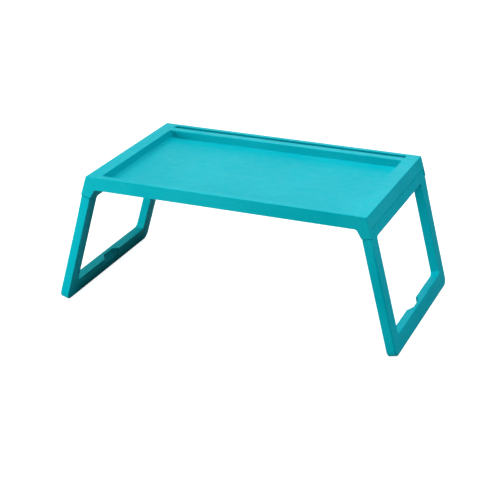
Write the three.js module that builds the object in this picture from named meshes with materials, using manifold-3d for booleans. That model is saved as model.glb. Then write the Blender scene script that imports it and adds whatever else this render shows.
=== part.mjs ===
// Folding tray table: a moulded tray with a sunk top and a tablet slot along its
// rear rim, carried by two closed leg loops that swing in under it to store.
//
// Millimetres, +Z up. The origin is on the floor under the centre of the tray,
// +X runs along the tray to the right-hand leg, -Y is the front.

import * as THREE from "three";
import { mergeVertices } from "three/addons/utils/BufferGeometryUtils.js";
import Module from "manifold-3d";

const wasm = await Module();
wasm.setup();

// Tray
const TRAY_LENGTH = 540; // along X, at the top of the rim
const TRAY_WIDTH = 360;
const TABLE_HEIGHT = 262; // floor to the top of the rim
const END_DRAFT = THREE.MathUtils.degToRad(16.8); // how far each end face leans out
const SIDE_SKIRT_DEPTH = 25.3; // front and rear
const END_SKIRT_DEPTH = 24;
const WALL = 3;
const RIM_FRONT = 14;
const RIM_REAR = 41.5;
const RIM_END = 26.7;
const RECESS_DEPTH = 16.5;
const RECESS_DRAFT = THREE.MathUtils.degToRad(8);
const RECESS_CORNER = 5;
const FLOOR_CHAMFER = 3;
const SLOT_WIDTH = 13;
const SLOT_DEPTH = 12;
const SLOT_FROM_REAR = 10.5; // the lip behind the tablet slot
const RIB_THICKNESS = 2;
const FLOOR_RIB_DEPTH = 4;
const END_WEB_DEPTH = 16;
const RIB_X = [-200, -100, 0, 100, 200];
const RIB_Y = [-120, -60, 0, 60, 120];
const STOP_GAP = 0.3; // between an end web's toe and the open leg

// Lugs: the corner plates that hold the legs
const LUG_THICKNESS = 5;
const LUG_FLARE = THREE.MathUtils.degToRad(31); // inner edge, from vertical
const LUG_REACH = 39.5; // down the leg, from the rim's level to the lug's end
const LUG_DEPTH = 17.8; // across the leg, at the lug's end
const LUG_CORNER = 3;
const LUG_FILLET = 6;

// Legs, measured down the slope of the leg (s) and in from its outer face (n)
const LEG_SPLAY = THREE.MathUtils.degToRad(14.7);
const LEG_THICKNESS = 17.6;
const LEG_INSET = 1; // outer face, behind the tray's end face
const LEG_SIDE_INSET = 0.6; // front and rear faces, behind the skirts
const LEG_TOP = 25.4;
const LEG_BOTTOM = 265.7;
const POST_WIDTH = 32.6;
const TOP_RAIL_END = 46.5;
const BOTTOM_RAIL_HEIGHT = 32.6;
const FOOT_CORNER = 15;
const OPENING_CORNER = 9;
const LEG_EDGE = 3;
const SHOULDER_GAP = 0.8; // between the lug's end and the post below it
const SHOULDER_CORNER = 2.5;
const SIDE_CLEARANCE = 0.4; // between a lug and the leg inside it
const NOTCH_MOUTH = 62;
const NOTCH_BACK = 36;
const NOTCH_REACH = 10.5; // in from the inner face
const NOTCH_DEPTH = 9;

// Hinge, in the leg's own measures
const PIVOT_S = 27.9;
const PIVOT_N = 13;
const PIN_RADIUS = 3;
const PIN_HOLE_RADIUS = 3.3;
const PIN_IN_LUG = 3.2;
const PIN_IN_LEG = 10;
const PIN_END_GAP = 0.3;

// Feet
const PAD_LENGTH = 24;
const PAD_WIDTH = 12;
const PAD_SOCKET_DEPTH = 1.8;
const PAD_STAND = 1.8; // how far its outer edge stands out of the leg
const PAD_FIT = 0.25;
const FOOT_LIFT = 0.5; // the leg's own lowest edge above the floor

const halfLength = TRAY_LENGTH / 2;
const halfWidth = TRAY_WIDTH / 2;
const sideSkirtZ = TABLE_HEIGHT - SIDE_SKIRT_DEPTH;
const endSkirtZ = TABLE_HEIGHT - END_SKIRT_DEPTH;
const floorZ = TABLE_HEIGHT - RECESS_DEPTH;
const slotRearY = halfWidth - SLOT_FROM_REAR;
const slotFrontY = slotRearY - SLOT_WIDTH;

const turquoise = { color: 0x18b0bd, roughness: 0.45, metalness: 0 };
const turquoiseDark = { color: 0x12a0ae, roughness: 0.5, metalness: 0 };
const steel = { color: 0xb8bbbe, roughness: 0.3, metalness: 1 };
const padSoft = { color: 0x1093a2, roughness: 0.8, metalness: 0 };

// ---- solids ---------------------------------------------------------------

// A closed three.js geometry as a manifold-3d solid.
function solid(geometry) {
  const bare = geometry.clone();
  bare.deleteAttribute("normal");
  bare.deleteAttribute("uv");
  const merged = mergeVertices(bare, 1e-4);
  return new wasm.Manifold(
    new wasm.Mesh({
      numProp: 3,
      vertProperties: merged.attributes.position.array,
      triVerts: new Uint32Array(merged.index.array),
    }),
  );
}

function box(x0, x1, y0, y1, z0, z1) {
  const geometry = new THREE.BoxGeometry(x1 - x0, y1 - y0, z1 - z0);
  return solid(geometry.translate((x0 + x1) / 2, (y0 + y1) / 2, (z0 + z1) / 2));
}

// A point of a 2D outline, with the radius that its corner is rounded to.
const corner = (x, y, radius = 0) => ({ x, y, radius });

// A closed THREE.Path through the corners, each rounded to its own radius.
function roundedOutline(corners, PathClass = THREE.Shape) {
  const path = new PathClass();
  corners.forEach((here, i) => {
    const before = corners[(i + corners.length - 1) % corners.length];
    const after = corners[(i + 1) % corners.length];
    const at = new THREE.Vector2(here.x, here.y);
    const back = new THREE.Vector2(before.x, before.y).sub(at).normalize();
    const on = new THREE.Vector2(after.x, after.y).sub(at).normalize();
    const halfAngle = Math.acos(THREE.MathUtils.clamp(back.dot(on), -1, 1)) / 2;
    const reach = here.radius / Math.tan(halfAngle);
    const start = back.multiplyScalar(reach).add(at);
    if (i === 0) path.moveTo(start.x, start.y);
    else path.lineTo(start.x, start.y);
    if (here.radius > 0) {
      const end = on.multiplyScalar(reach).add(at);
      path.quadraticCurveTo(at.x, at.y, end.x, end.y);
    }
  });
  path.closePath();
  return path;
}

const rectangle = (x0, x1, y0, y1, radius) => [
  corner(x0, y0, radius),
  corner(x1, y0, radius),
  corner(x1, y1, radius),
  corner(x0, y1, radius),
];

// An outline in X and Z, run along Y from y0 to y1.
function alongY(shape, y0, y1) {
  const geometry = new THREE.ExtrudeGeometry(shape, {
    depth: y1 - y0,
    bevelEnabled: false,
    curveSegments: 4,
  });
  // the outline's second axis becomes Z and the run becomes -Y
  geometry.rotateX(Math.PI / 2);
  return solid(geometry.translate(0, y1, 0));
}

// A rectangular tub from its floor up to z1: walls that lean out by draft, upright
// edges rounded to radius, and a chamfer round the floor.
function tub({ x, y0, y1, floor, z1, draft, radius, chamfer }) {
  const leanOut = (z1 - floor) * Math.tan(draft);
  const layers = [
    { z: floor, inset: leanOut + chamfer },
    { z: floor + chamfer, inset: leanOut },
    { z: z1, inset: 0 },
  ];
  const rings = layers.map(({ z, inset }) =>
    roundedOutline(
      rectangle(-x + inset, x - inset, y0 + inset, y1 - inset, radius),
    )
      .getPoints(3)
      .slice(0, -1)
      .map((p) => new THREE.Vector3(p.x, p.y, z)),
  );
  return solid(loft(rings));
}

// A closed surface through rings of equally many points, each ring anticlockwise
// as seen from above and the first ring lowest.
function loft(rings) {
  const count = rings[0].length;
  const cap = THREE.ShapeUtils.triangulateShape(rings[0], []);
  const topStart = (rings.length - 1) * count;
  const index = [];
  cap.forEach(([a, b, c]) => {
    index.push(a, c, b);
    index.push(topStart + a, topStart + b, topStart + c);
  });
  for (let level = 0; level + 1 < rings.length; level += 1) {
    for (let i = 0; i < count; i += 1) {
      const a = level * count + i;
      const b = level * count + ((i + 1) % count);
      index.push(a, b, b + count, a, b + count, a + count);
    }
  }
  return new THREE.BufferGeometry().setFromPoints(rings.flat()).setIndex(index);
}

const joined = (solids) => solids.reduce((all, next) => all.add(next));

const root = new THREE.Group();

function addMesh(name, body, finish) {
  const raw = body.getMesh();
  const geometry = new THREE.BufferGeometry();
  geometry.setAttribute(
    "position",
    new THREE.BufferAttribute(raw.vertProperties, 3),
  );
  geometry.setIndex(new THREE.BufferAttribute(raw.triVerts, 1));
  geometry.computeVertexNormals();
  const mesh = new THREE.Mesh(geometry, new THREE.MeshStandardMaterial(finish));
  mesh.name = name;
  root.add(mesh);
}

// ---- the leg's frame --------------------------------------------------------

// The point s down the right-hand leg and n in from its outer face, in X and Z.
function legPoint(s, n) {
  const seam = SIDE_SKIRT_DEPTH / Math.cos(END_DRAFT);
  const startX =
    halfLength + seam * Math.sin(END_DRAFT) - LEG_INSET * Math.cos(END_DRAFT);
  const startZ =
    TABLE_HEIGHT - seam * Math.cos(END_DRAFT) - LEG_INSET * Math.sin(END_DRAFT);
  const down = s - seam;
  return {
    x: startX + down * Math.sin(LEG_SPLAY) - n * Math.cos(LEG_SPLAY),
    z: startZ - down * Math.cos(LEG_SPLAY) - n * Math.sin(LEG_SPLAY),
  };
}

// Moves a solid made in the leg's frame (X = -n, Y, Z = -s) onto the right-hand leg.
function ontoRightLeg(body) {
  const start = legPoint(0, 0);
  const degrees = -THREE.MathUtils.radToDeg(LEG_SPLAY);
  return body.rotate([0, degrees, 0]).translate([start.x, 0, start.z]);
}

const sides = [
  { side: "right", mirrored: false },
  { side: "left", mirrored: true },
];
const ends = [
  { end: "front", sign: -1 },
  { end: "rear", sign: 1 },
];

// Turns a right-hand solid into the left-hand one when it is wanted.
const forSide = (body, mirrored) => (mirrored ? body.mirror([1, 0, 0]) : body);
const forEnd = (body, sign) => (sign < 0 ? body : body.mirror([0, 1, 0]));

// ---- tray -------------------------------------------------------------------

// Half the tray's length at a height, out to its leaning end face.
const endFaceX = (z) => halfLength + (TABLE_HEIGHT - z) * Math.tan(END_DRAFT);

// The whole block of the tray, drawn in by an amount on its ends and its top.
function trayBlock(inset, bottomZ) {
  const topZ = TABLE_HEIGHT - inset;
  const endInset = inset / Math.cos(END_DRAFT);
  const outline = roundedOutline([
    corner(-endFaceX(bottomZ) + endInset, bottomZ),
    corner(endFaceX(bottomZ) - endInset, bottomZ),
    corner(endFaceX(topZ) - endInset, topZ),
    corner(-endFaceX(topZ) + endInset, topZ),
  ]);
  return alongY(outline, -halfWidth + inset, halfWidth - inset);
}

// The corner plate at the front right: it carries on down from the skirt, flush
// with it and with the end face, and its end is square to the leg.
function lug() {
  const tip = legPoint(LUG_REACH, LUG_DEPTH);
  const along = Math.tan(LEG_SPLAY);
  const draft = Math.tan(END_DRAFT);
  // where the lug's end line meets the leaning end face
  const outerX =
    (tip.z - tip.x * along - TABLE_HEIGHT - halfLength / draft) /
    (-1 / draft - along);
  const outerZ = tip.z + (outerX - tip.x) * along;
  const filletX = tip.x - (sideSkirtZ - tip.z) * Math.tan(LUG_FLARE);
  const topZ = TABLE_HEIGHT - WALL;
  const outline = roundedOutline([
    corner(filletX - 2 * LUG_FILLET, topZ),
    corner(filletX - 2 * LUG_FILLET, sideSkirtZ),
    corner(filletX, sideSkirtZ, LUG_FILLET),
    corner(tip.x, tip.z, LUG_CORNER),
    corner(outerX, outerZ),
    corner(endFaceX(topZ), topZ),
  ]);
  return alongY(outline, -halfWidth, -halfWidth + LUG_THICKNESS);
}

// A round hole or pin along Y on the hinge line, from y0 to y1.
function alongHinge(radius, y0, y1) {
  const pivot = legPoint(PIVOT_S, PIVOT_N);
  const geometry = new THREE.CylinderGeometry(radius, radius, y1 - y0, 24);
  return solid(geometry.translate(pivot.x, (y0 + y1) / 2, pivot.z));
}

// A web across the right-hand end channel. Its toe comes down to just above the top
// of the leg, outside the hinge line, and stops the open leg from swinging out.
function endWeb(y) {
  const toeS = LEG_TOP - STOP_GAP;
  const toeInner = legPoint(toeS, PIVOT_N - 3);
  const toeOuter = legPoint(toeS, LEG_EDGE);
  const webTop = TABLE_HEIGHT - 1;
  const webLow = TABLE_HEIGHT - END_WEB_DEPTH;
  const recessSide = halfLength - RIM_END + 1;
  const outline = roundedOutline([
    corner(recessSide, webTop),
    corner(recessSide, webLow),
    corner(toeInner.x, webLow),
    corner(toeInner.x, toeInner.z),
    corner(toeOuter.x, toeOuter.z),
    corner(endFaceX(endSkirtZ) - WALL / 2, endSkirtZ),
    corner(endFaceX(webTop) - WALL / 2, webTop),
  ]);
  return alongY(outline, y - RIB_THICKNESS / 2, y + RIB_THICKNESS / 2);
}

function makeTray() {
  const recess = {
    x: halfLength - RIM_END,
    y0: -halfWidth + RIM_FRONT,
    y1: halfWidth - RIM_REAR,
    floor: floorZ,
    z1: TABLE_HEIGHT,
    draft: RECESS_DRAFT,
    radius: RECESS_CORNER,
    chamfer: FLOOR_CHAMFER,
  };
  const tubWall = {
    ...recess,
    x: recess.x + WALL,
    y0: recess.y0 - WALL,
    y1: recess.y1 + WALL,
    floor: floorZ - WALL,
  };
  const slotHalf = recess.x;
  const slotFloor = TABLE_HEIGHT - SLOT_DEPTH;
  const slotTrough = box(
    -slotHalf - WALL,
    slotHalf + WALL,
    slotFrontY - WALL,
    slotRearY + WALL,
    slotFloor - WALL,
    TABLE_HEIGHT,
  );
  const hollow = trayBlock(WALL, sideSkirtZ - 1)
    .subtract(tub(tubWall))
    .subtract(slotTrough);

  // low ribs under the floor, both ways
  const ribLow = floorZ - WALL - FLOOR_RIB_DEPTH;
  const ribs = RIB_Y.map((y) =>
    box(
      -recess.x + 10,
      recess.x - 10,
      y - 15 - RIB_THICKNESS / 2,
      y - 15 + RIB_THICKNESS / 2,
      ribLow,
      floorZ - 1,
    ),
  );
  RIB_X.forEach((x) =>
    ribs.push(
      box(
        x - RIB_THICKNESS / 2,
        x + RIB_THICKNESS / 2,
        recess.y0 + 10,
        recess.y1 - 10,
        ribLow,
        floorZ - 1,
      ),
    ),
  );
  sides.forEach(({ mirrored }) =>
    RIB_Y.forEach((y) => ribs.push(forSide(endWeb(y), mirrored))),
  );

  const endTrim = [-1, 1].map((sign) => {
    const x0 = sign * (halfLength - RIM_END);
    const x1 = sign * (halfLength + RIM_END);
    return box(
      Math.min(x0, x1),
      Math.max(x0, x1),
      -halfWidth + LUG_THICKNESS,
      halfWidth - LUG_THICKNESS,
      sideSkirtZ - 2,
      endSkirtZ,
    );
  });

  const lugs = [];
  const pinHoles = [];
  const holeY0 = -halfWidth + LUG_THICKNESS - PIN_IN_LUG - PIN_END_GAP;
  sides.forEach(({ mirrored }) =>
    ends.forEach(({ sign }) => {
      lugs.push(forEnd(forSide(lug(), mirrored), sign));
      const hole = alongHinge(
        PIN_HOLE_RADIUS,
        holeY0,
        -halfWidth + LUG_THICKNESS + 1,
      );
      pinHoles.push(forEnd(forSide(hole, mirrored), sign));
    }),
  );

  const shell = trayBlock(0, sideSkirtZ).subtract(hollow);
  const withLugs = joined([
    shell.subtract(joined(endTrim)),
    ...lugs,
    ...ribs,
  ]);
  const slot = box(
    -slotHalf,
    slotHalf,
    slotFrontY,
    slotRearY,
    slotFloor,
    TABLE_HEIGHT + 1,
  );
  return withLugs
    .subtract(tub(recess))
    .subtract(slot)
    .subtract(joined(pinHoles));
}

// ---- leg loop ---------------------------------------------------------------

const legHalf = halfWidth - LEG_SIDE_INSET;
const openingHalf = legHalf - POST_WIDTH;
const bottomRailTop = LEG_BOTTOM - BOTTOM_RAIL_HEIGHT;

// The socket in the underside of the loop for one pad, or the space that the pad
// itself fills, made smaller all round by fit.
const padMiddleY = legHalf - FOOT_CORNER - PAD_LENGTH / 2;
const padMiddleN = LEG_THICKNESS / 2;

function legLoop() {
  const outline = roundedOutline([
    corner(-legHalf + LEG_EDGE, -LEG_BOTTOM + LEG_EDGE, FOOT_CORNER - LEG_EDGE),
    corner(legHalf - LEG_EDGE, -LEG_BOTTOM + LEG_EDGE, FOOT_CORNER - LEG_EDGE),
    corner(legHalf - LEG_EDGE, -LEG_TOP - LEG_EDGE),
    corner(-legHalf + LEG_EDGE, -LEG_TOP - LEG_EDGE),
  ]);
  outline.holes.push(
    roundedOutline(
      rectangle(
        -openingHalf - LEG_EDGE,
        openingHalf + LEG_EDGE,
        -bottomRailTop - LEG_EDGE,
        -TOP_RAIL_END + LEG_EDGE,
        OPENING_CORNER + LEG_EDGE,
      ),
      THREE.Path,
    ),
  );
  const geometry = new THREE.ExtrudeGeometry(outline, {
    depth: LEG_THICKNESS - 2 * LEG_EDGE,
    bevelThickness: LEG_EDGE,
    bevelSize: LEG_EDGE,
    bevelSegments: 2,
    curveSegments: 4,
  });
  // outline X is Y, outline Y is -s, and the extrusion runs to -n
  const basis = new THREE.Matrix4().makeBasis(
    new THREE.Vector3(0, 1, 0),
    new THREE.Vector3(0, 0, 1),
    new THREE.Vector3(1, 0, 0),
  );
  geometry.applyMatrix4(basis);
  return solid(geometry.translate(-LEG_THICKNESS + LEG_EDGE, 0, 0));
}

// What the lug takes from the corner of the loop, with a rounded inner shoulder.
function shoulderCut() {
  const depth = LUG_THICKNESS + SIDE_CLEARANCE;
  const shoulder = LUG_REACH + SHOULDER_GAP;
  const round = SHOULDER_CORNER;
  const outline = roundedOutline([
    corner(2, -LEG_TOP + 2),
    corner(-LEG_THICKNESS - 2, -LEG_TOP + 2),
    corner(-LEG_THICKNESS - 2, -shoulder - round),
    corner(-LEG_THICKNESS, -shoulder - round),
    corner(-LEG_THICKNESS + round * 0.3, -shoulder - round * 0.3),
    corner(-LEG_THICKNESS + round, -shoulder),
    corner(2, -shoulder),
  ]);
  return alongY(outline, -halfWidth - 1, -halfWidth + depth);
}

// The finger notch in the top of the bottom rail, open to the inner face.
function fingerNotch() {
  const outline = new THREE.Shape([
    new THREE.Vector2(-LEG_THICKNESS - 1, -NOTCH_MOUTH / 2 - 1),
    new THREE.Vector2(-LEG_THICKNESS + NOTCH_REACH, -NOTCH_BACK / 2),
    new THREE.Vector2(-LEG_THICKNESS + NOTCH_REACH, NOTCH_BACK / 2),
    new THREE.Vector2(-LEG_THICKNESS - 1, NOTCH_MOUTH / 2 + 1),
  ]);
  const geometry = new THREE.ExtrudeGeometry(outline, {
    depth: NOTCH_DEPTH + 1,
    bevelEnabled: false,
  });
  return solid(geometry.translate(0, 0, -bottomRailTop - NOTCH_DEPTH));
}

// The underside of a pad is level with the floor along its inner part, and square
// to the leg along the rest. In the leg's frame, X is -n and Z is -s.
function footPad(fit) {
  const outerX = -(padMiddleN - PAD_WIDTH / 2 + fit);
  const innerX = -(padMiddleN + PAD_WIDTH / 2 - fit);
  const floorAt = (x) =>
    -LEG_BOTTOM -
    (FOOT_LIFT + (LEG_THICKNESS + x) * Math.sin(LEG_SPLAY)) /
      Math.cos(LEG_SPLAY);
  const standZ = -LEG_BOTTOM - PAD_STAND;
  const levelX =
    (PAD_STAND * Math.cos(LEG_SPLAY) - FOOT_LIFT) / Math.sin(LEG_SPLAY) -
    LEG_THICKNESS;
  const topZ = -LEG_BOTTOM + PAD_SOCKET_DEPTH - fit;
  const outline = roundedOutline([
    corner(outerX, topZ),
    corner(innerX, topZ),
    corner(innerX, floorAt(innerX)),
    corner(levelX, standZ),
    corner(outerX, standZ),
  ]);
  const half = PAD_LENGTH / 2 - fit;
  return alongY(outline, -padMiddleY - half, -padMiddleY + half);
}

function makeLeg() {
  let leg = legLoop().subtract(fingerNotch());
  const pinDepth = LUG_THICKNESS + SIDE_CLEARANCE + PIN_IN_LEG;
  const cuts = [shoulderCut(), footPad(0)];
  ends.forEach(({ sign }) => {
    cuts.forEach((cut) => {
      leg = leg.subtract(forEnd(cut, sign));
    });
  });
  leg = ontoRightLeg(leg);
  ends.forEach(({ sign }) => {
    const hole = alongHinge(
      PIN_HOLE_RADIUS,
      -halfWidth,
      -halfWidth + pinDepth,
    );
    leg = leg.subtract(forEnd(hole, sign));
  });
  return leg;
}

// ---- assembly -----------------------------------------------------------------

addMesh("tray", makeTray(), turquoise);

const leg = makeLeg();
const pad = ontoRightLeg(footPad(PAD_FIT));
const pin = alongHinge(
  PIN_RADIUS,
  -halfWidth + LUG_THICKNESS - PIN_IN_LUG,
  -halfWidth + LUG_THICKNESS + SIDE_CLEARANCE + PIN_IN_LEG - PIN_END_GAP,
);

sides.forEach(({ side, mirrored }) => {
  addMesh(`leg_${side}`, forSide(leg, mirrored), turquoiseDark);
  ends.forEach(({ end, sign }) => {
    const place = (body) => forEnd(forSide(body, mirrored), sign);
    addMesh(`hinge_pin_${side}_${end}`, place(pin), steel);
    addMesh(`foot_pad_${side}_${end}`, place(pad), padSoft);
  });
});

export default root;
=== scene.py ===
import math

import bpy
import numpy as np
from mathutils import Matrix, Vector


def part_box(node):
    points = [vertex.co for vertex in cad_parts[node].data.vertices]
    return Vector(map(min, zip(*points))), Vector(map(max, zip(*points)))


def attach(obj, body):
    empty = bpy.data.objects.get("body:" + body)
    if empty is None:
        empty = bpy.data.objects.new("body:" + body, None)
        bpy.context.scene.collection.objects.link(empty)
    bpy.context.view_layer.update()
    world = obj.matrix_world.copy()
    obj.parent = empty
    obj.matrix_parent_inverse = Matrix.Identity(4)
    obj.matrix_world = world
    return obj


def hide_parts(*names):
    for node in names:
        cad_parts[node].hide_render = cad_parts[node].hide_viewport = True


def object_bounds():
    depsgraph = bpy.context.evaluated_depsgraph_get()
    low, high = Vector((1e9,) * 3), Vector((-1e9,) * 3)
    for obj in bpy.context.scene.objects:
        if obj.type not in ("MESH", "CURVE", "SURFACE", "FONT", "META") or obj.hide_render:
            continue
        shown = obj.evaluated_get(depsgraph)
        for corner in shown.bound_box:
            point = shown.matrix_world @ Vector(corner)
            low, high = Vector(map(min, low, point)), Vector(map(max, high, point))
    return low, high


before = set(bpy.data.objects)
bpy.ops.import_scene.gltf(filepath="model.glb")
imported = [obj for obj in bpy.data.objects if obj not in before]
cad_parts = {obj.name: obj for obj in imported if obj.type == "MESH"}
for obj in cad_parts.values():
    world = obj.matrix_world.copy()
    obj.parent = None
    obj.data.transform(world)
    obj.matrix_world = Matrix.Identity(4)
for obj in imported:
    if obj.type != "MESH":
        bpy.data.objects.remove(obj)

cad_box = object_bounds()

# Camera
# ------
# Standing to the right of the table and a little above it, with a long lens, so
# that the front, the right-hand end and the whole sunk top show.
camera_place = Vector((0.8927, -2.3343, 1.1255))
camera_turn = math.radians(21.21)
camera_tilt = math.radians(22.51)
camera_roll = math.radians(0.64)
camera_data = bpy.data.cameras.new("camera")
camera_data.sensor_width = 36
camera_data.lens = 100.65
camera = bpy.data.objects.new("camera", camera_data)
bpy.context.collection.objects.link(camera)
back = Vector((
    math.sin(camera_turn) * math.cos(camera_tilt),
    -math.cos(camera_turn) * math.cos(camera_tilt),
    math.sin(camera_tilt),
))
across = Vector((math.cos(camera_turn), math.sin(camera_turn), 0))
over = back.cross(across)
right = math.cos(camera_roll) * across + math.sin(camera_roll) * over
up = math.cos(camera_roll) * over - math.sin(camera_roll) * across
camera.matrix_world = Matrix.Translation(camera_place) @ Matrix(
    (right, up, back)
).transposed().to_4x4()
bpy.context.scene.camera = camera

# Tray
# ----
# One injection moulding, 3 mm thick and open underneath: the sunk top, the rim with
# its slot, the four skirts, and at each corner a lug that the leg hangs from.
tray_high = np.array(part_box("tray")[1]) * 1000
rim_height = tray_high[2]
tray_depth = tray_high[1]  # from the middle to the front or rear skirt
rim_half = 270
end_lean = math.radians(16.8)
wall = 3
side_skirt = rim_height - 25.3
end_skirt = rim_height - 24
recess_half, recess_front, recess_rear = 243.3, -166, 138.5
recess_floor = rim_height - 16.5
recess_lean = math.radians(5)
recess_fillet = 3.2
slot_half, slot_front, slot_rear, slot_depth = 243.5, 156.5, 169.5, 12
lug_thick = 5
lug_flare = math.radians(31)
lug_reach, lug_depth = 39.5, 17.8
lug_fillet, lug_corner = 6, 3
leg_splay = math.radians(14.7)
leg_thick = 17.6
moulded_edge = 0.9


def end_face(z):
    """How far the leaning end face stands from the middle at a height."""
    return rim_half + (rim_height - z) * math.tan(end_lean)


def leg_place(s, n):
    """X and Z of a point of the right-hand leg: s down its slope from the rim's
    level, and n in from its outer face, which starts 1 mm behind the end face."""
    seam = (rim_height - side_skirt) / math.cos(end_lean)
    x = rim_half + seam * math.sin(end_lean) - math.cos(end_lean)
    z = rim_height - seam * math.cos(end_lean) - math.sin(end_lean)
    down = s - seam
    return np.array([
        x + down * math.sin(leg_splay) - n * math.cos(leg_splay),
        z - down * math.cos(leg_splay) - n * math.sin(leg_splay),
    ])


def rounded_corner(before, corner, after, radius, steps):
    """Points of the arc of that radius that touches both lines of a corner, from
    its first touching point to its last."""
    before, corner, after = (np.asarray(p, float) for p in (before, corner, after))
    back_way = (before - corner) / np.linalg.norm(before - corner)
    on_way = (after - corner) / np.linalg.norm(after - corner)
    half = math.acos(np.clip(back_way @ on_way, -1, 1)) / 2
    middle = back_way + on_way
    middle = corner + middle / np.linalg.norm(middle) * radius / math.sin(half)
    start = corner + back_way * radius / math.tan(half) - middle
    end = corner + on_way * radius / math.tan(half) - middle
    sweep = math.pi - 2 * half
    t = np.linspace(0, 1, steps + 1)[:, None]
    arc = (np.sin((1 - t) * sweep) * start + np.sin(t * sweep) * end) / math.sin(sweep)
    return middle + arc


def lay_mesh(name, points, faces, body, slot, finish):
    """A finished piece from points in millimetres and four-cornered faces. Points
    that agree to a thousandth become one, and the faces that lose their area with
    them go."""
    points = np.asarray(points, float).reshape(-1, 3)
    off_halves = 0.000137  # so that points which agree also round the same way
    _, first, where = np.unique(
        np.round(points + off_halves, 3), axis=0, return_index=True, return_inverse=True
    )
    points = points[first]
    faces = where.reshape(-1)[np.asarray(faces)]
    repeat = faces == np.roll(faces, -1, axis=1)
    open_face = (faces[:, 0] != faces[:, 2]) & (faces[:, 1] != faces[:, 3])
    quads = faces[(repeat.sum(1) == 0) & open_face]
    once = (repeat.sum(1) == 1) & open_face
    triangles = faces[once][~repeat[once]].reshape(-1, 3)
    mesh = bpy.data.meshes.new(name)
    mesh.from_pydata((points / 1000).tolist(), [], quads.tolist() + triangles.tolist())
    mesh.shade_smooth()
    mesh.materials.append(finish)
    piece = bpy.data.objects.new(name, mesh)
    bpy.context.collection.objects.link(piece)
    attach(piece, body)
    return piece


def soften(piece, width, segments=3):
    """The small radius that every mould has along its sharp edges, and shading
    that follows the large flat faces."""
    bevel = piece.modifiers.new("moulded edge", "BEVEL")
    bevel.width = width / 1000
    bevel.segments = segments
    bevel.limit_method = "ANGLE"
    bevel.angle_limit = math.radians(32)
    bevel.use_clamp_overlap = False
    bevel.miter_outer = "MITER_ARC"
    flat = piece.modifiers.new("flat faces", "WEIGHTED_NORMAL")
    flat.mode = "FACE_AREA"
    flat.weight = 100
    flat.keep_sharp = True


def grid_faces(rows, columns, around):
    """Corner numbers of the quads between neighbouring points of a grid, row by
    row, closing from the last column to the first where it runs around."""
    number = np.arange(rows * columns).reshape(rows, columns)
    if around:
        number = np.hstack([number, number[:, :1]])
    return np.stack([
        number[:-1, :-1], number[:-1, 1:], number[1:, 1:], number[1:, :-1]
    ], axis=-1).reshape(-1, 4)


# The lug's outline seen from the front, from the skirt's lower edge round its tip
# to the corner of the tray. Its end is square to the leg below it.
lug_tip = leg_place(lug_reach, lug_depth)
lug_root = np.array([
    lug_tip[0] - (side_skirt - lug_tip[1]) * math.tan(lug_flare), side_skirt
])
rise = math.tan(leg_splay)
lean = math.tan(end_lean)
lug_end_x = (rim_half + (rim_height - lug_tip[1] + lug_tip[0] * rise) * lean) / (
    1 + rise * lean
)
lug_end = np.array([lug_end_x, lug_tip[1] + (lug_end_x - lug_tip[0]) * rise])
lug_inner_x = lug_end_x - wall / math.cos(end_lean) / (1 + rise * lean)
lug_inner = np.array([lug_inner_x, lug_tip[1] + (lug_inner_x - lug_tip[0]) * rise])
arc_steps = 6
lug_outline = np.vstack([
    rounded_corner((0, side_skirt), lug_root, lug_tip, lug_fillet, arc_steps),
    rounded_corner(lug_root, lug_tip, lug_end, lug_corner, arc_steps),
])

# Every ring of the tray has the same columns. Half a front or rear side runs from
# the middle to the slot's end, which has two columns, and then round the lug; an
# end has two columns where the lug steps up to the skirt.
even_half = 200
plain = np.append(np.linspace(0, even_half, 9), [214, 228, slot_half])
half_side = np.concatenate([plain, [slot_half], lug_outline[:, 0], [lug_end[0]]])
slot_columns = np.arange(half_side.size) < plain.size
last_plain = plain.size - 1
end_columns = 15
corner_angles = np.linspace(0, math.pi / 2, arc_steps + 1)[1:-1]


def half_ring(half_x, front, rear, radius=0, slot_at=slot_half, steps=(3, 6)):
    """X and Y round the right half of a rounded rectangle, from the middle of the
    front to the middle of the rear. The columns of the long sides keep their place
    out to even_half, then stretch to put the slot's end at slot_at and the last one
    at the corner. Steps are how far the end's two lug columns stand from the corner."""
    x = np.interp(
        half_side,
        [0, even_half, slot_half, half_side[-1]], [0, even_half, slot_at, half_x - radius],
    )
    y = np.concatenate([
        [front + radius, front + radius + steps[0]],
        np.linspace(front + radius + steps[1], rear - radius - steps[1], end_columns),
        [rear - radius - steps[0], rear - radius],
    ])
    turn = radius * np.stack([np.sin(corner_angles), 1 - np.cos(corner_angles)])
    return np.stack([
        np.concatenate([
            x, half_x - radius + turn[0], np.full(y.size, half_x),
            half_x - radius + turn[0][::-1], x[::-1],
        ]),
        np.concatenate([
            np.full(x.size, front), front + turn[1], y,
            rear - turn[1][::-1], np.full(x.size, rear),
        ]),
    ], axis=1)


side_count = half_side.size
corner_count = corner_angles.size
end_start = side_count + corner_count
end_count = end_columns + 4
half_count = 2 * end_start + end_count
front_side = slice(0, side_count)
front_corner = slice(side_count, end_start)
end_side = slice(end_start, end_start + end_count)
rear_corner = slice(end_start + end_count, half_count - side_count)
rear_side = slice(half_count - side_count, half_count)


def level(ring, z):
    """A half ring in the plane, lifted to a height."""
    return np.column_stack([ring, np.broadcast_to(z, ring.shape[0])])


def both_halves(half):
    """A whole ring from its right half: the left half is its mirror image, taken
    back from the rear to the front."""
    left = half[::-1][1:-1] * [-1, 1, 1]
    return np.vstack([half, left])


def rear_trough(ring, top, depth):
    """A half ring at the height of the top, let down by depth along the rear
    between the slot's ends."""
    z = np.full(half_count, float(top))
    z[rear_side] -= depth * slot_columns[::-1]
    return level(ring, z)


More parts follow.
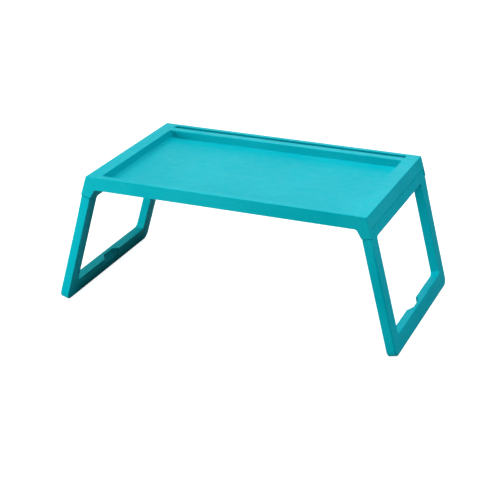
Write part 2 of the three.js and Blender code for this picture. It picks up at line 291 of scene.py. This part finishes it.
def lug_ring(thick, tip, skirt_x, outline_z, spread=0):
    """A half ring along the skirts' lower edge. Its front and rear stand in from the
    tray's faces by thick, first for the skirt and then for the lug, and follow the
    outline's heights to the tip at the corner. Its ends step up to the end skirt.
    Spread slopes the step from the skirt's thickness to the lug's."""
    x = half_side.copy()
    x[-1] = tip[0]
    x[last_plain + 1] += spread
    z = np.concatenate([np.full(last_plain + 2, outline_z[0]), outline_z[1:], [tip[1]]])
    inner = tray_depth - lug_thick
    corner = tray_depth - thick[1]
    y = np.where(slot_columns, tray_depth - thick[0], corner)
    ring = level(half_ring(skirt_x, -inner, inner, steps=(0, 0)), end_skirt)
    ring[front_side] = np.column_stack([x, -y, z])
    ring[rear_side] = np.column_stack([x, y, z])[::-1]
    ring[front_corner] = [tip[0], -corner, tip[1]]
    ring[rear_corner] = [tip[0], corner, tip[1]]
    end = ring[end_side]
    end[[0, 1, -2, -1], 0] = tip[0]
    end[[0, 1, -2, -1], 2] = tip[1]
    end[[0, -1], 1] = -corner, corner
    return ring


# The tray is a stack of such rings, from the middle of the floor up the recess, out
# over the rim, down the skirts and back inside to the underside of the floor. A ring
# that lies in the flat of the floor or the rim only leads the columns across it.
fillet_inset = (rim_height - recess_floor - recess_fillet) * math.tan(
    recess_lean
) + recess_fillet / math.cos(recess_lean)
fillet_turn = np.linspace(math.pi / 2, recess_lean, 8)
recess_corner, rim_corner = 8.5, 4
floor_edge = half_ring(226, -148, 121, slot_at=214)
recess_rings = [level(floor_edge, recess_floor)]
for angle in fillet_turn:
    inset = fillet_inset - recess_fillet * math.cos(angle)
    z = recess_floor + recess_fillet * (1 - math.sin(angle))
    recess_rings.append(level(
        half_ring(
            recess_half - inset, recess_front + inset, recess_rear - inset,
            radius=recess_corner - inset, slot_at=222,
        ), z,
    ))
recess_rings.append(level(
    half_ring(recess_half, recess_front, recess_rear, radius=rim_corner, slot_at=224),
    rim_height,
))
slot_inner = half_ring(252, -172, slot_front)
slot_outer = half_ring(259, -175, slot_rear)
rim_rings = [
    level(half_ring(247.5, -169, 147.5, slot_at=236), rim_height),
    level(slot_inner, rim_height),
    rear_trough(slot_inner, rim_height, slot_depth),
    rear_trough(slot_outer, rim_height, slot_depth),
    level(slot_outer, rim_height),
    level(half_ring(rim_half, -tray_depth, tray_depth, steps=(5, 10)), rim_height),
]
lug_start, lug_slope = 4.3, 2
outline_z = np.concatenate([[side_skirt], lug_outline[:, 1]])
above_outline = np.full(outline_z.size, side_skirt + lug_start)
skirt_outer = end_face(end_skirt)
skirt_inner = skirt_outer - wall / math.cos(end_lean)
ceiling = rim_height - wall
ceiling_x = end_face(ceiling) - wall / math.cos(end_lean)
skirt_rings = [
    lug_ring((0, 0), (skirt_outer, end_skirt), skirt_outer, above_outline),
    lug_ring((0, 0), lug_end, skirt_outer, outline_z),
    lug_ring((wall, lug_thick), lug_inner, skirt_inner, outline_z, lug_slope),
    lug_ring(
        (wall, lug_thick), (skirt_inner, end_skirt), skirt_inner, above_outline, lug_slope
    ),
]
inner_top = half_ring(ceiling_x, -tray_depth + lug_thick, tray_depth - lug_thick, steps=(0, 5))
inner_top[front_side, 1][slot_columns] = -tray_depth + wall
inner_top[rear_side, 1][slot_columns[::-1]] = tray_depth - wall
inner_top[[last_plain + 1, half_count - last_plain - 2], 0] += lug_slope
trough_half = slot_half + wall
trough_rear = half_ring(262, -172.5, slot_rear + wall, slot_at=trough_half)
trough_front = half_ring(254, -170.7, slot_front - wall, slot_at=trough_half)
under_out, under_in = 0.5, 2.8
under_rings = [
    level(inner_top, ceiling),
    level(trough_rear, ceiling),
    rear_trough(trough_rear, ceiling, slot_depth),
    rear_trough(trough_front, ceiling, slot_depth),
    level(trough_front, ceiling),
    level(
        half_ring(
            recess_half + wall, recess_front - wall, recess_rear + wall, radius=7,
            slot_at=226,
        ), ceiling,
    ),
    level(
        half_ring(
            recess_half + under_out, recess_front - under_out, recess_rear + under_out,
            radius=6, slot_at=225,
        ), recess_floor,
    ),
    level(
        half_ring(
            recess_half - under_in, recess_front + under_in, recess_rear - under_in,
            radius=4, slot_at=224,
        ), recess_floor - wall,
    ),
    level(floor_edge, recess_floor - wall),
]
tray_rings = np.array([
    both_halves(half) for half in recess_rings + rim_rings + skirt_rings + under_rings
])


def floor_grid(ring):
    """The flat middle of the floor inside a half ring: its own columns across, and
    its end's columns from front to rear."""
    x = ring[front_side, 0]
    x = np.concatenate([-x[:0:-1], x])
    y = ring[end_side, 1]
    gx, gy = np.meshgrid(x, y)
    return np.stack([gx, gy, np.full(gx.shape, ring[0, 2])], axis=-1)


def block(profile, front, rear):
    """A web or rib: four corners in X and Z, anticlockwise from the front, carried
    from front to rear."""
    profile = np.asarray(profile, float)
    corners = np.vstack([
        np.insert(profile, 1, front, axis=1), np.insert(profile, 1, rear, axis=1)
    ])
    sides = [(0, 1, 2, 3), (7, 6, 5, 4)] + [
        (i, i + 4, (i + 1) % 4 + 4, (i + 1) % 4) for i in range(4)
    ]
    return corners, np.array(sides)


def gather(parts):
    """Several point sets and their faces as one."""
    start = np.cumsum([0] + [len(p) for p, _ in parts[:-1]])
    return (
        np.vstack([p for p, _ in parts]),
        np.vstack([np.asarray(f) + s for (_, f), s in zip(parts, start)]),
    )


shell_faces = grid_faces(tray_rings.shape[0], tray_rings.shape[1], around=True)
top_floor = floor_grid(recess_rings[0])
low_floor = floor_grid(under_rings[-1])
floor_faces = grid_faces(*top_floor.shape[:2], around=False)
tray_parts = [
    (tray_rings.reshape(-1, 3), shell_faces[:, ::-1]),
    (top_floor.reshape(-1, 3), floor_faces),
    (low_floor.reshape(-1, 3), floor_faces[:, ::-1]),
]

# Low ribs run both ways under the floor. Webs cross the end channels, and each has
# a toe that comes down to the open leg's top rail and stops it. All are sunk a
# little way into the walls they stand on.
rib_half, rib_depth, sunk = 1, 4, 1
rib_half_length, rib_front, rib_rear = 233, -156, 128
rib_low, rib_top = recess_floor - wall - rib_depth, recess_floor - sunk
for y in (-135, -75, -15, 45, 105):
    tray_parts.append(block(
        [
            (-rib_half_length, rib_low), (rib_half_length, rib_low),
            (rib_half_length, rib_top), (-rib_half_length, rib_top),
        ], y - rib_half, y + rib_half,
    ))
for x in (-200, -100, 0, 100, 200):
    tray_parts.append(block(
        [
            (x - rib_half, rib_low), (x + rib_half, rib_low),
            (x + rib_half, rib_top), (x - rib_half, rib_top),
        ], rib_front, rib_rear,
    ))
web_rows = (-120, -60, 0, 60, 120)
web_low, web_top = rim_height - 16, rim_height - sunk
toe_end, toe_inner_n, toe_outer_n = 25.1, 10, 3
toe_inner, toe_outer = leg_place(toe_end, toe_inner_n), leg_place(toe_end, toe_outer_n)
web = np.array([
    (recess_half + sunk, web_low), (end_face(web_low) - 1.5 * sunk, web_low),
    (end_face(web_top) - 1.5 * sunk, web_top), (recess_half + sunk, web_top),
])
toe = np.array([
    toe_inner, toe_outer, (end_face(web_low) - 2 * sunk, web_low + sunk),
    (toe_inner[0], web_low + sunk),
])
for y in web_rows:
    for profile in (web, toe):
        tray_parts.append(block(profile, y - rib_half, y + rib_half))
        tray_parts.append(block(
            (profile * [-1, 1])[::-1], y - rib_half, y + rib_half
        ))

# Satin polypropylene. The mould leaves a fine grain on every face, the colour drifts
# a little where the melt cooled unevenly, edges polish paler with handling, and the
# faces carry a few hair scratches and a trace of dust where nothing wipes them.
def shader_group(name, inputs, outputs):
    """An empty shader node group with its named sockets, and its two end nodes."""
    group = bpy.data.node_groups.new(name, "ShaderNodeTree")
    for direction, sockets in (("INPUT", inputs), ("OUTPUT", outputs)):
        for label, kind, value in sockets:
            made = group.interface.new_socket(label, in_out=direction, socket_type=kind)
            if value is not None:
                made.default_value = value
    return group, group.nodes.new("NodeGroupInput"), group.nodes.new("NodeGroupOutput")


def add_node(tree, kind, settings=(), **sockets):
    """One shader node with its settings, and its sockets set or linked by name.
    Underscores stand for the spaces in a socket's name, and i0, i1 and so on for
    a socket's number."""
    made = tree.nodes.new(kind)
    for name, value in dict(settings).items():
        setattr(made, name, value)
    for name, value in sockets.items():
        numbered = name[0] == "i" and name[1:].isdigit()
        key = int(name[1:]) if numbered else name.replace("_", " ")
        if isinstance(value, bpy.types.NodeSocket):
            tree.links.new(value, made.inputs[key])
        else:
            made.inputs[key].default_value = value
    return made


def ramp(tree, factor, low, high):
    """A mask that is 0 below low and 1 above high, or the reverse where low is the
    greater."""
    return add_node(
        tree, "ShaderNodeMapRange", {"interpolation_type": "SMOOTHSTEP"},
        Value=factor, From_Min=low, From_Max=high,
    ).outputs["Result"]


def combine(tree, first, second, how="ADD"):
    """Two values through one Math node, added unless how names another way."""
    return add_node(
        tree, "ShaderNodeMath", {"operation": how}, i0=first, i1=second
    ).outputs["Value"]


number, vector = "NodeSocketFloat", "NodeSocketVector"

grain_group, grain_in, grain_out = shader_group(
    "mould grain",
    [("Place", vector, None), ("Grain Scale", number, 900.0), ("Drift Scale", number, 7.0)],
    [("Height", number, None), ("Gloss Break", number, None), ("Drift", number, None)],
)
pebble = add_node(
    grain_group, "ShaderNodeTexVoronoi", {"feature": "SMOOTH_F1"},
    Vector=grain_in.outputs["Place"], Scale=grain_in.outputs["Grain Scale"], Smoothness=0.6,
)
haze = add_node(
    grain_group, "ShaderNodeTexNoise",
    Vector=grain_in.outputs["Place"], Scale=grain_in.outputs["Grain Scale"], Detail=3.0,
)
melt = add_node(
    grain_group, "ShaderNodeTexNoise",
    Vector=grain_in.outputs["Place"], Scale=grain_in.outputs["Drift Scale"], Detail=2.0,
)
patch = add_node(
    grain_group, "ShaderNodeTexNoise",
    Vector=grain_in.outputs["Place"], Scale=60.0, Detail=4.0, Roughness=0.6,
)
grain_group.links.new(
    combine(grain_group, pebble.outputs["Distance"], haze.outputs["Fac"]),
    grain_out.inputs["Height"],
)
grain_group.links.new(
    ramp(grain_group, patch.outputs["Fac"], 0.35, 0.7), grain_out.inputs["Gloss Break"]
)
grain_group.links.new(
    ramp(grain_group, melt.outputs["Fac"], 0.32, 0.68), grain_out.inputs["Drift"]
)

wear_group, wear_in, wear_out = shader_group(
    "handling wear",
    [("Place", vector, None), ("Normal", vector, None), ("Reach", number, 0.0012)],
    [("Edge", number, None), ("Scratch", number, None), ("Dust", number, None)],
)
nibble = add_node(
    wear_group, "ShaderNodeTexNoise", Vector=wear_in.outputs["Place"], Scale=90.0, Detail=3.0
)
rounded = add_node(
    wear_group, "ShaderNodeBevel", {"samples": 6}, Radius=wear_in.outputs["Reach"]
)
flatness = add_node(
    wear_group, "ShaderNodeVectorMath", {"operation": "DOT_PRODUCT"},
    i0=rounded.outputs["Normal"], i1=wear_in.outputs["Normal"],
).outputs["Value"]
edge = ramp(wear_group, flatness, 0.99, 0.86)
wear_group.links.new(
    combine(
        wear_group, edge, ramp(wear_group, nibble.outputs["Fac"], 0.3, 0.65), "MULTIPLY"
    ), wear_out.inputs["Edge"],
)
scratches = None
for turn_z, stretch in ((0.4, (45, 700, 200)), (2.1, (60, 800, 250)), (1.3, (50, 900, 200))):
    combed = add_node(
        wear_group, "ShaderNodeMapping",
        Vector=wear_in.outputs["Place"], Rotation=(0.2, 0.1, turn_z), Scale=stretch,
    )
    hair = add_node(
        wear_group, "ShaderNodeTexNoise", Vector=combed.outputs["Vector"], Scale=1.0,
        Detail=1.0,
    )
    line = ramp(wear_group, hair.outputs["Fac"], 0.735, 0.78)
    scratches = line if scratches is None else combine(wear_group, scratches, line, "MAXIMUM")
wear_group.links.new(scratches, wear_out.inputs["Scratch"])
facing = add_node(wear_group, "ShaderNodeSeparateXYZ", Vector=wear_in.outputs["Normal"])
settle = add_node(
    wear_group, "ShaderNodeTexNoise", Vector=wear_in.outputs["Place"], Scale=35.0, Detail=6.0,
    Roughness=0.7,
)
wear_group.links.new(
    combine(
        wear_group, ramp(wear_group, facing.outputs["Z"], 0.2, 0.95),
        ramp(wear_group, settle.outputs["Fac"], 0.45, 0.75), "MULTIPLY",
    ), wear_out.inputs["Dust"],
)


def toward_grey(colour, grey, share):
    """A colour drawn some share of the way to a grey."""
    return tuple((1 - share) * c + share * grey for c in colour[:3]) + (1,)


def polypropylene(name, deep, pale, roughness, gloss, grain_depth, grain_scale=900.0):
    """Satin moulded plastic in two close tones of one colour, with its grain, its
    polished edges, scratches and dust. The grain's depth is in metres."""
    finish = bpy.data.materials.new(name)
    finish.use_nodes = True
    tree = finish.node_tree
    shader = tree.nodes["Principled BSDF"]
    place = add_node(tree, "ShaderNodeTexCoord").outputs["Object"]
    geometry = add_node(tree, "ShaderNodeNewGeometry").outputs
    grain = add_node(
        tree, "ShaderNodeGroup", {"node_tree": grain_group}, Place=place,
        Grain_Scale=grain_scale,
    ).outputs
    wear = add_node(
        tree, "ShaderNodeGroup", {"node_tree": wear_group}, Place=place,
        Normal=geometry["Normal"],
    ).outputs
    colour = add_node(
        tree, "ShaderNodeMix", {"data_type": "RGBA"}, Factor=grain["Drift"], i6=deep, i7=pale
    ).outputs[2]
    worn = toward_grey(pale, 0.75, 0.28)
    dust = toward_grey(deep, 0.6, 0.2)
    for mask, share, tone in (
        ("Edge", 0.12, worn), ("Scratch", 0.06, worn), ("Dust", 0.07, dust)
    ):
        colour = add_node(
            tree, "ShaderNodeMix", {"data_type": "RGBA"},
            Factor=combine(tree, wear[mask], share, "MULTIPLY"), i6=colour, i7=tone,
        ).outputs[2]
    tree.links.new(colour, shader.inputs["Base Color"])
    rough = roughness
    for mask, share in (
        (grain["Gloss Break"], 0.1), (wear["Scratch"], 0.08), (wear["Dust"], 0.12),
        (wear["Edge"], -0.08),
    ):
        rough = combine(tree, combine(tree, mask, share, "MULTIPLY"), rough)
    tree.links.new(rough, shader.inputs["Roughness"])
    bump = add_node(
        tree, "ShaderNodeBump", Strength=0.25, Distance=grain_depth, Height=combine(
            tree, grain["Height"], combine(tree, wear["Scratch"], -0.5, "MULTIPLY")
        ),
    )
    tree.links.new(bump.outputs["Normal"], shader.inputs["Normal"])
    shader.inputs["IOR"].default_value = 1.49
    shader.inputs["Specular IOR Level"].default_value = gloss
    shader.inputs["Specular Tint"].default_value = (0.1, 0.85, 1, 1)
    return finish


tray_plastic = polypropylene(
    "tray polypropylene", (0.0, 0.39, 0.455, 1), (0.004, 0.42, 0.485, 1),
    0.46, 0.11, 0.00008,
)
tray = lay_mesh(
    "tray_moulding", *gather(tray_parts), "tray", "tray_plastic", tray_plastic
)
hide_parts("tray")
soften(tray, moulded_edge)

# Legs
# ----
# Two closed loops, mirror images of each other, each moulded in one with its top
# rail, two posts and a bottom rail that has a finger notch in its inner edge.
# Lengths run down the leg's slope from the rim's level, and halves along Y.
leg_half = 179.4
leg_top, leg_bottom = 26.2, 265.7
shoulder_half, shoulder = 174.6, 40.3
opening_half, opening_top, opening_bottom = 146.8, 46.5, 233.1
foot_round, opening_foot_round, top_round, opening_top_round = 15, 9, 3.2, 5
notch_half, notch_back_half, notch_back, notch_deep = 31, 18, 7.1, 10.5


def quarter(centre, radius, start, sign):
    """Nine points of a quarter turn about a centre in Y and s, and the directions
    from each into the plastic: to the centre for sign -1, away from it for +1."""
    angle = start + np.linspace(0, math.pi / 2, 9)
    spoke = np.stack([np.sin(angle), np.cos(angle)], axis=1)
    return np.asarray(centre) + radius * spoke, sign * spoke


def straight(y, s, inward):
    """Points along one straight of the loop, and their direction into the plastic."""
    y, s = np.broadcast_arrays(np.asarray(y, float), np.asarray(s, float))
    return np.stack([y, s], axis=1), np.tile(np.asarray(inward, float), (y.size, 1))


def half_loop(stretches):
    """Stretches of points and directions joined into half a loop, and closed with
    its mirror image about the middle of the leg."""
    points = np.vstack([p for p, _ in stretches])
    inward = np.vstack([d for _, d in stretches])
    return (
        np.vstack([points, points[::-1][1:-1] * [-1, 1]]),
        np.vstack([inward, inward[::-1][1:-1] * [-1, 1]]),
    )


rail_y = [0, 9, notch_back_half, notch_half, notch_half, 60, 100, 130]
post_s = [200, 150, 110, 80, 66, 56, 48]
outer_line, outer_inward = half_loop([
    straight(rail_y, leg_bottom, (0, -1)),
    quarter((leg_half - foot_round, leg_bottom - foot_round), foot_round, 0, -1),
    straight(leg_half, post_s, (-1, 0)),
    straight([leg_half, shoulder_half], shoulder, (-1, 1)),
    straight(shoulder_half, [34], (-1, 0)),
    quarter((shoulder_half - top_round, leg_top + top_round), top_round, math.pi / 2, -1),
    straight([150, 100, 50, 0], leg_top, (0, 1)),
])
opening_line, opening_inward = half_loop([
    straight(rail_y, opening_bottom, (0, 1)),
    quarter(
        (opening_half - opening_foot_round, opening_bottom - opening_foot_round),
        opening_foot_round, 0, 1,
    ),
    straight(opening_half, post_s[:4] + [70, 64, 60, 57.5, 55, 53], (1, 0)),
    quarter(
        (opening_half - opening_top_round, opening_top + opening_top_round),
        opening_top_round, math.pi / 2, 1,
    ),
    straight([120, 80, 40, 0], opening_top, (0, -1)),
])
columns = len(outer_line)

# The finger notch is cut down from the inner face. Its floor starts from a line that
# runs in from the mouth's ends to its back. Two columns share each end's place, and
# only the first of them dips, so the end stands square.
off_middle = np.abs(opening_line[:, 0])
notch = (off_middle <= notch_half) & (opening_line[:, 1] == opening_bottom)
undipped = rail_y.index(notch_half) + 1
notch[[undipped, columns - undipped]] = False
notch_drop = np.where(notch, notch_deep, 0)
flat_end = leg_thick - 2
notch_line = np.interp(off_middle, [notch_back_half, notch_half], [notch_back, flat_end])


def leg_surface():
    """The loop as a grid: a cross-section of four flats and four rounded edges,
    carried along the outer line and the opening's line together. Each row stands a
    depth into the plastic from its line, and n in from the leg's outer face. The
    outer edge is full down the posts and tightens to the lug's edge near the top.
    The last row is the first again, which closes the section."""
    turn = np.linspace(0, math.pi / 2, 6)[:, None]
    tight_to, full_from, full_edge = 46, 90, 3.5
    outer_edge = np.interp(
        outer_line[:, 1], [tight_to, full_from], [moulded_edge, full_edge]
    )
    opening_edge, inner_edge = 1.8, 1.4
    shallow, deep = 1 - np.cos(turn), 1 - np.sin(turn)
    flat = np.zeros((1, columns))
    rows = [
        (0, shallow * outer_edge, deep * outer_edge),
        (1, shallow[::-1] * opening_edge + flat, deep[::-1] * opening_edge + flat),
        (1, flat, notch_line + flat),
        (1, shallow * inner_edge + notch_drop, leg_thick - deep * inner_edge + flat),
        (0, shallow[::-1] * inner_edge + flat, leg_thick - deep[::-1] * inner_edge + flat),
    ]
    rows.append((0, rows[0][1][:1], rows[0][2][:1]))
    lines = ((outer_line, outer_inward), (opening_line, opening_inward))
    grid = []
    for which, depth, n in rows:
        line, inward = lines[which]
        place = line + depth[..., None] * inward
        x, z = leg_place(place[..., 1], n)
        grid.append(np.stack([x, place[..., 0], z], axis=-1))
    return np.concatenate(grid)


leg_plastic = polypropylene(
    "leg polypropylene", (0.0, 0.395, 0.465, 1), (0.003, 0.425, 0.495, 1),
    0.48, 0.06, 0.00009,
)
leg_points = leg_surface()
leg_parts = [
    (leg_points.reshape(-1, 3), grid_faces(*leg_points.shape[:2], around=True))
]

# A low lip along the top rail stands up inside the tray's end channel and closes the
# seam to the light. It is broken at each web, so that it swings past the toes.
lip_outer, lip_inner, lip_height, lip_break = 11.2, 13.7, 4, 1.3
lip = np.array([
    leg_place(s, n) for s, n in (
        (leg_top + sunk, lip_inner), (leg_top + sunk, lip_outer),
        (leg_top - lip_height, lip_outer), (leg_top - lip_height, lip_inner),
    )
])
lip_half = 174.5
lip_ends = (-lip_half, *web_rows, lip_half)
for front, rear in zip(lip_ends[:-1], lip_ends[1:]):
    leg_parts.append(block(lip, front + lip_break, rear - lip_break))
leg_points, leg_faces = gather(leg_parts)
leg_edge = 0.5
for side, mirror in (("right", 1), ("left", -1)):
    leg = lay_mesh(
        f"{side}_leg_moulding", leg_points * [mirror, 1, 1],
        leg_faces[:, ::mirror], f"{side}_leg", "leg_plastic", leg_plastic,
    )
    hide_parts(f"leg_{side}")
    soften(leg, leg_edge, segments=2)

# Hinge pins
# ----------
# Ground steel dowels with chamfered ends, each from the top corner of a leg into the
# lug beside it. The mouldings are left solid round them. A sliver of each stands above
# the rail, inside the end channel, and shows when the leg is folded.
def dowel(middle, radius, front, rear):
    """A profile of chamfered ends and a straight side, carried round the hinge line
    through middle, a point in X and Z: (x + r cos t, y, z + r sin t). It closes on
    its axis."""
    chamfer = 0.6
    profile = np.array([
        (0, front), (radius - chamfer, front), (radius, front + chamfer),
        (radius, rear - chamfer), (radius - chamfer, rear), (0, rear),
    ])
    turn = np.linspace(0, 2 * math.pi, 49)[:-1]
    r, y = profile[:, :1], profile[:, 1:]
    x, y, z = np.broadcast_arrays(
        middle[0] + r * np.cos(turn), y, middle[1] + r * np.sin(turn)
    )
    return np.stack([x, y, z], axis=-1)


def ground_steel():
    """Bare steel with the fine rings that grinding leaves round a dowel."""
    finish = bpy.data.materials.new("ground steel")
    finish.use_nodes = True
    tree = finish.node_tree
    shader = tree.nodes["Principled BSDF"]
    place = add_node(tree, "ShaderNodeTexCoord").outputs["Object"]
    rings = add_node(
        tree, "ShaderNodeTexNoise", Detail=4.0, Scale=1.0,
        Vector=add_node(
            tree, "ShaderNodeMapping", Vector=place, Scale=(60, 9000, 60)
        ).outputs["Vector"],
    ).outputs["Fac"]
    oil = add_node(tree, "ShaderNodeTexNoise", Vector=place, Scale=300.0).outputs["Fac"]
    tree.links.new(
        add_node(
            tree, "ShaderNodeMix", {"data_type": "RGBA"}, Factor=rings,
            i6=(0.46, 0.47, 0.49, 1), i7=(0.66, 0.67, 0.69, 1),
        ).outputs[2], shader.inputs["Base Color"],
    )
    tree.links.new(ramp(tree, oil, -0.6, 1.6), shader.inputs["Roughness"])
    bump = add_node(tree, "ShaderNodeBump", Strength=0.2, Distance=0.00002, Height=rings)
    tree.links.new(bump.outputs["Normal"], shader.inputs["Normal"])
    shader.inputs["Metallic"].default_value = 1
    return finish


steel = ground_steel()
for side in ("right", "left"):
    for end in ("front", "rear"):
        low, high = (np.array(p) * 1000 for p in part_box(f"hinge_pin_{side}_{end}"))
        middle = (low + high)[[0, 2]] / 2
        surface = dowel(middle, (high[0] - low[0]) / 2, low[1], high[1])
        pin = lay_mesh(
            f"{side}_{end}_pin", surface,
            grid_faces(*surface.shape[:2], around=True)[:, ::-1],
            f"{side}_leg", "pin_steel", steel,
        )
        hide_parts(f"hinge_pin_{side}_{end}")

# Foot pads
# ---------
# Soft pads let into the underside of each foot. Outwards they lie square to the leg,
# and the inner part is cut level, so that the open table stands flat on it.
pad_half_n, pad_half_y, pad_round = 5.75, 11.75, 3
pad_sunk, pad_stand, pad_edge = 1.5, 1.8, 0.7
pad_groove, pad_pitch = 0.35, 4.6
pad_middle_n = leg_thick / 2


def pad_surface(front, rear):
    """Rings of a rounded rectangle in n and Y, from the middle of the sunk face out
    to its edge, down the side, round the lower edge and in to the middle of the
    sole. The sole is the higher of a face square to the leg and the floor, less
    its grooves: their depth times (1 - ridge) squared, where the ridge is half of
    one plus the cosine of a whole turn for each pitch along Y."""
    turn = np.linspace(0, math.pi / 2, 7)
    outline, spokes = [], []
    for quarter_turn in range(4):
        angle = turn + quarter_turn * math.pi / 2
        spoke = np.stack([np.cos(angle), np.sin(angle)], axis=1)
        corner = np.sign(spoke[3]) * (pad_half_n - pad_round, pad_half_y - pad_round)
        outline.append(corner + pad_round * spoke)
        spokes.append(spoke)
    outline, spokes = np.vstack(outline), np.vstack(spokes)
    curve = np.linspace(0, math.pi / 2, 5)[:, None, None]
    sides = [outline * share for share in (0, 0.5)] + [outline, outline]
    rounds = list(outline - pad_edge * (1 - np.cos(curve)) * spokes)
    inner = outline - pad_edge * spokes
    sole = [inner * share for share in np.linspace(1, 0, 13)[1:]]
    rings = np.array(sides + rounds[1:] + sole)
    n = pad_middle_n + rings[..., 0]
    y = (front + rear) / 2 + rings[..., 1]
    square_end = leg_bottom + pad_stand
    below_floor = cad_box[0].z * 1000 - leg_place(square_end, n)[1]
    s = square_end - np.maximum(below_floor, 0) / math.cos(leg_splay)
    ridges = 0.5 + 0.5 * np.cos(rings[8:, :, 1] * 2 * math.pi / pad_pitch)
    s[3:8] -= pad_edge * (1 - np.sin(curve[:, :, 0]))
    s[8:] -= pad_groove * (1 - ridges) ** 2
    s[:3] = leg_bottom - pad_sunk
    x, z = leg_place(s, n)
    return np.stack([x, y, z], axis=-1)


pad_soft = polypropylene(
    "soft pad", (0.0, 0.27, 0.33, 1), (0.0, 0.31, 0.37, 1), 0.66, 0.1, 0.00012, 500.0
)
for side, mirror in (("right", 1), ("left", -1)):
    for end in ("front", "rear"):
        low, high = (np.array(p) * 1000 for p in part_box(f"foot_pad_{side}_{end}"))
        surface = pad_surface(low[1], high[1])
        pad = lay_mesh(
            f"{side}_{end}_pad", surface * [mirror, 1, 1],
            grid_faces(*surface.shape[:2], around=True)[:, ::mirror],
            f"{side}_leg", "pad_soft", pad_soft,
        )
        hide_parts(f"foot_pad_{side}_{end}")

# Room
# ----
# A plain pale floor, which glows to the eye so that it stays white and is clear from
# below, and soft studio light.
reach = 6
room_floor = bpy.data.meshes.new("floor")
room_floor.from_pydata(
    [(-reach, -reach, 0), (reach, -reach, 0), (reach, reach, 0), (-reach, reach, 0)],
    [], [(0, 1, 2, 3)],
)
floor = bpy.data.objects.new("floor", room_floor)
bpy.context.collection.objects.link(floor)
paper = bpy.data.materials.new("studio floor")
paper.use_nodes = True
paper_tree = paper.node_tree
sheet = paper_tree.nodes["Principled BSDF"]
sheet.inputs["Base Color"].default_value = (0.4, 0.4, 0.4, 1)
sheet.inputs["Roughness"].default_value = 0.8
sheet.inputs["Emission Color"].default_value = (1, 1, 1, 1)
sheet.inputs["Emission Strength"].default_value = 0.94
dull = add_node(paper_tree, "ShaderNodeBsdfDiffuse", Color=(0.4, 0.41, 0.42, 1))
clear = add_node(paper_tree, "ShaderNodeBsdfTransparent")
seen = add_node(
    paper_tree, "ShaderNodeMixShader",
    Fac=add_node(paper_tree, "ShaderNodeLightPath").outputs["Is Camera Ray"],
    i1=dull.outputs["BSDF"], i2=sheet.outputs["BSDF"],
)
from_below = add_node(
    paper_tree, "ShaderNodeMixShader",
    Fac=add_node(paper_tree, "ShaderNodeNewGeometry").outputs["Backfacing"],
    i1=seen.outputs["Shader"], i2=clear.outputs["BSDF"],
)
paper_tree.links.new(
    from_below.outputs["Shader"], paper_tree.nodes["Material Output"].inputs["Surface"]
)
room_floor.materials.append(paper)

world = bpy.data.worlds.new("studio")
bpy.context.scene.world = world
world.use_nodes = True
world_tree = world.node_tree
backdrop = add_node(
    world_tree, "ShaderNodeMix",
    Factor=add_node(world_tree, "ShaderNodeLightPath").outputs["Is Camera Ray"],
    A=0.03, B=1.0,
)
background = world_tree.nodes["Background"]
background.inputs["Color"].default_value = (1, 1, 1, 1)
world_tree.links.new(backdrop.outputs["Result"], background.inputs["Strength"])


def lamp(name, place, aim, width, height, power, colour=(1, 1, 1)):
    """An oblong soft light at a place, turned to face a point."""
    data = bpy.data.lights.new(name, "AREA")
    data.shape = "RECTANGLE"
    data.size = width
    data.size_y = height
    data.energy = power
    data.color = colour
    light = bpy.data.objects.new(name, data)
    light.location = place
    light.rotation_euler = (Vector(aim) - Vector(place)).to_track_quat("-Z", "Y").to_euler()
    bpy.context.collection.objects.link(light)


lamp("top light", (-1.3, 0.1, 2.1), (0, 0, 0.2), 2.0, 2.0, 34, (1, 1, 0.94))
lamp("key light", (-1.3, -1.7, 0.42), (0, 0, 0.15), 1.0, 0.75, 36, (1, 1, 0.98))
lamp("side light", (0.95, -0.1, 2.05), (0, 0, 0.12), 1.2, 1.2, 41, (0.5, 0.94, 1.01))
lamp("back light", (-0.6, 2.6, 1.4), (0, 0, 0.2), 2.0, 2.0, 15)
bpy.context.scene.view_settings.view_transform = "Standard"
